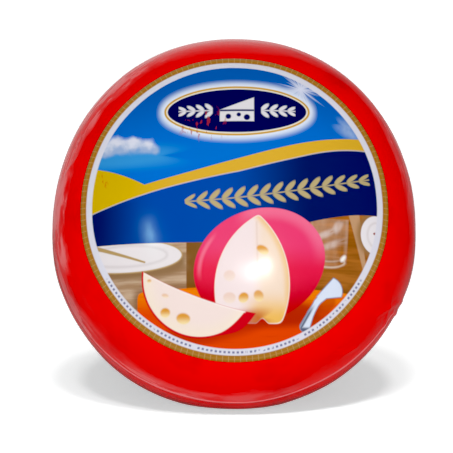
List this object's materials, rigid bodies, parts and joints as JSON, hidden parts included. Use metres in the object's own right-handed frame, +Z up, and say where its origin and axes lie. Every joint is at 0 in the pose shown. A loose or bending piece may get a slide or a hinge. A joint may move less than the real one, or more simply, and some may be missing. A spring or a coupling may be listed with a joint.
{
  "type": "ball of cheese",
  "caption": "Squat ball of semi-hard cheese in a tight glossy red skin, standing on a small flat spot and leaning back, with a large round printed label on its front face.",
  "frame": {"origin": "on the resting flat, straight below the centre of the ball", "axes": "+Z up, +X to the right as seen from the label side, -Y towards the viewer, the way the label faces"},
  "size_m": [0.158, 0.1217, 0.1591],
  "materials": {
    "red_skin": "glossy red film and wax skin drawn tight over the cheese, with fine wrinkles towards the edges",
    "label_print": "glossy printed label in blue, gold, white and orange with a gold rim"
  },
  "bodies": {
    "root": {"cheese_ball": "red_skin", "round_label": "label_print"}
  },
  "joints": []
}
